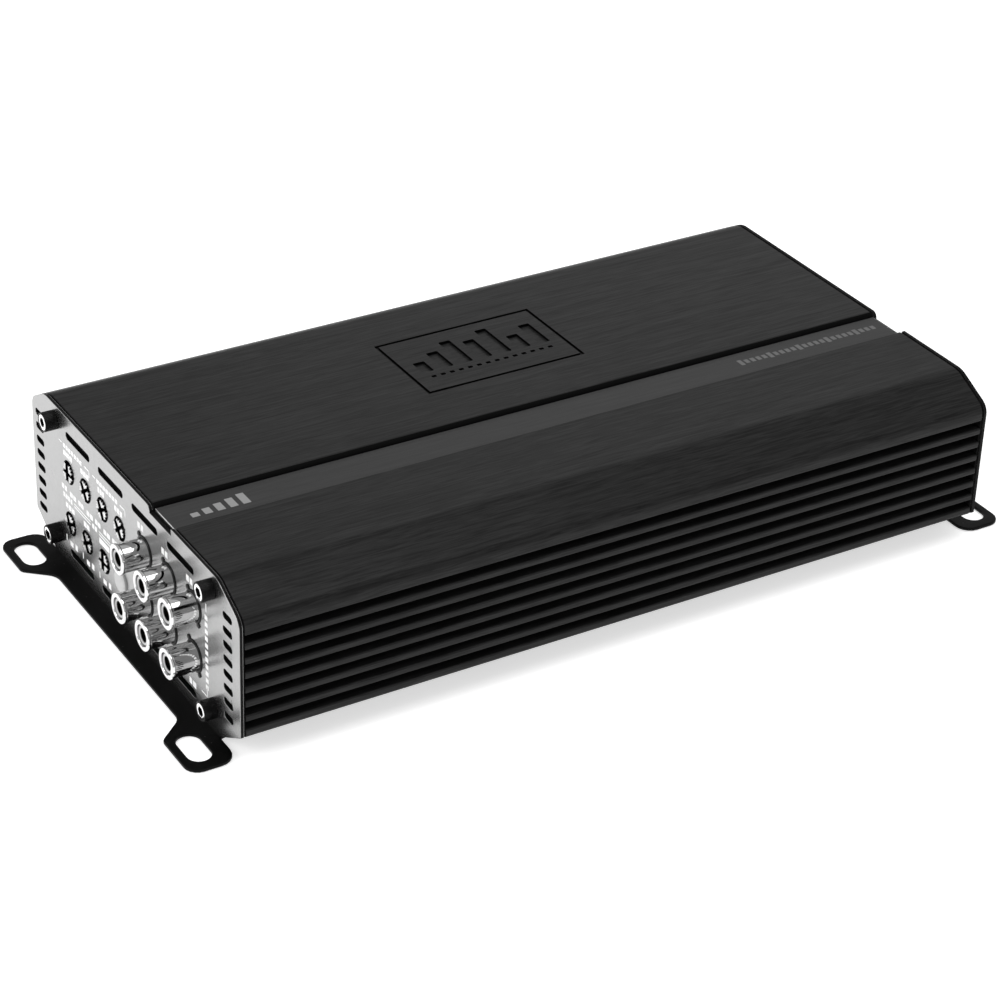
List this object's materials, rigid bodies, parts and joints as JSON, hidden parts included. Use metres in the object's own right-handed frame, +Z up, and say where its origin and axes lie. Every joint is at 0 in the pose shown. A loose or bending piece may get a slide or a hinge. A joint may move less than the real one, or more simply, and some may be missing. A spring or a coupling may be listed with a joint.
{
  "type": "car amplifier",
  "caption": "Compact finned aluminium car audio amplifier on a steel tray with slotted feet, phono sockets and turnable level controls at one end, terminals and fuses at the other.",
  "frame": {"origin": "middle of the footprint, on the floor", "axes": "+X from the control end to the terminal end, +Y to the rear long side, +Z up"},
  "size_m": [0.2574, 0.1266, 0.0485],
  "materials": {
    "case_aluminium": "dark anodised, brushed along its length",
    "strip_aluminium": "dark grey anodised, fine brushed",
    "black_steel": "black powder coat",
    "silver_plate": "satin silver with white printed marks",
    "black_rubber": "matt",
    "black_screw": "black oxide",
    "circuit_board": "green solder mask",
    "plated_steel": "zinc plated",
    "sheet_plastic": "translucent sheet",
    "brass_parts": "turned",
    "black_plastic": "moulded",
    "nickel": "bright nickel",
    "white_plastic": "moulded",
    "shaft_metal": "knurled",
    "fuse_plastic": "translucent green",
    "device_plastic": "epoxy",
    "pad_rubber": "soft",
    "can_sleeve": "shrink sleeve",
    "copper_winding": "enamelled copper wire",
    "ferrite": "sintered"
  },
  "bodies": {
    "chassis": {"heatsink_case": "case_aluminium", "accent_strip": "strip_aluminium", "base_tray": "black_steel", "control_end_plate": "silver_plate", "control_gasket": "black_rubber", "terminal_end_plate": "silver_plate", "terminal_gasket": "black_rubber", "end_screws": "black_screw", "base_screws": "black_screw", "main_board": "circuit_board", "board_screws": "plated_steel", "insulation_sheet": "sheet_plastic", "control_board": "circuit_board", "control_spacers": "brass_parts", "board_header": "black_plastic", "rca_housing": "black_plastic", "rca_shell_1": "nickel", "rca_shell_2": "nickel", "rca_shell_3": "nickel", "rca_shell_4": "nickel", "rca_shell_5": "nickel", "rca_shell_6": "nickel", "rca_insulators": "white_plastic", "rca_contacts": "brass_parts", "pot_body_1": "black_plastic", "pot_body_2": "black_plastic", "pot_body_3": "black_plastic", "pot_body_4": "black_plastic", "pot_body_5": "black_plastic", "pot_body_6": "black_plastic", "pot_body_7": "black_plastic", "mode_switch": "black_plastic", "speaker_block": "black_plastic", "speaker_clamps": "brass_parts", "speaker_screws": "plated_steel", "power_block": "black_plastic", "power_clamps": "brass_parts", "power_screws": "plated_steel", "fuse_holder": "black_plastic", "upper_fuse": "fuse_plastic", "lower_fuse": "fuse_plastic", "power_transistors": "device_plastic", "thermal_pads": "pad_rubber", "clamp_bars": "plated_steel", "clamp_screws": "plated_steel", "filter_capacitors": "can_sleeve", "small_capacitors": "can_sleeve", "output_inductors": "copper_winding", "toroid_core": "ferrite", "toroid_winding": "copper_winding"},
    "pot_shaft_1": {"pot_shaft_1": "shaft_metal"},
    "pot_shaft_2": {"pot_shaft_2": "shaft_metal"},
    "pot_shaft_3": {"pot_shaft_3": "shaft_metal"},
    "pot_shaft_4": {"pot_shaft_4": "shaft_metal"},
    "pot_shaft_5": {"pot_shaft_5": "shaft_metal"},
    "pot_shaft_6": {"pot_shaft_6": "shaft_metal"},
    "pot_shaft_7": {"pot_shaft_7": "shaft_metal"},
    "mode_button": {"mode_button": "white_plastic"}
  },
  "joints": [
    {"name": "pot_1_turn", "type": "hinge", "parent": "chassis", "child": "pot_shaft_1", "pos_m": [-0.1157, 0.03935, 0.0314], "axis": [-1, 0, 0], "range_deg": [-150, 150]},
    {"name": "pot_2_turn", "type": "hinge", "parent": "chassis", "child": "pot_shaft_2", "pos_m": [-0.1157, 0.0284, 0.0314], "axis": [-1, 0, 0], "range_deg": [-150, 150]},
    {"name": "pot_3_turn", "type": "hinge", "parent": "chassis", "child": "pot_shaft_3", "pos_m": [-0.1157, 0.01745, 0.0314], "axis": [-1, 0, 0], "range_deg": [-150, 150]},
    {"name": "pot_4_turn", "type": "hinge", "parent": "chassis", "child": "pot_shaft_4", "pos_m": [-0.1157, 0.0065, 0.0314], "axis": [-1, 0, 0], "range_deg": [-150, 150]},
    {"name": "pot_5_turn", "type": "hinge", "parent": "chassis", "child": "pot_shaft_5", "pos_m": [-0.1157, 0.03935, 0.0152], "axis": [-1, 0, 0], "range_deg": [-150, 150]},
    {"name": "pot_6_turn", "type": "hinge", "parent": "chassis", "child": "pot_shaft_6", "pos_m": [-0.1157, 0.0284, 0.0152], "axis": [-1, 0, 0], "range_deg": [-150, 150]},
    {"name": "pot_7_turn", "type": "hinge", "parent": "chassis", "child": "pot_shaft_7", "pos_m": [-0.1157, 0.01745, 0.0152], "axis": [-1, 0, 0], "range_deg": [-150, 150]},
    {"name": "mode_button_press", "type": "slide", "parent": "chassis", "child": "mode_button", "axis": [1, 0, 0], "range_m": [0, 0.0015], "stiffness_N_per_m": 1000}
  ]
}
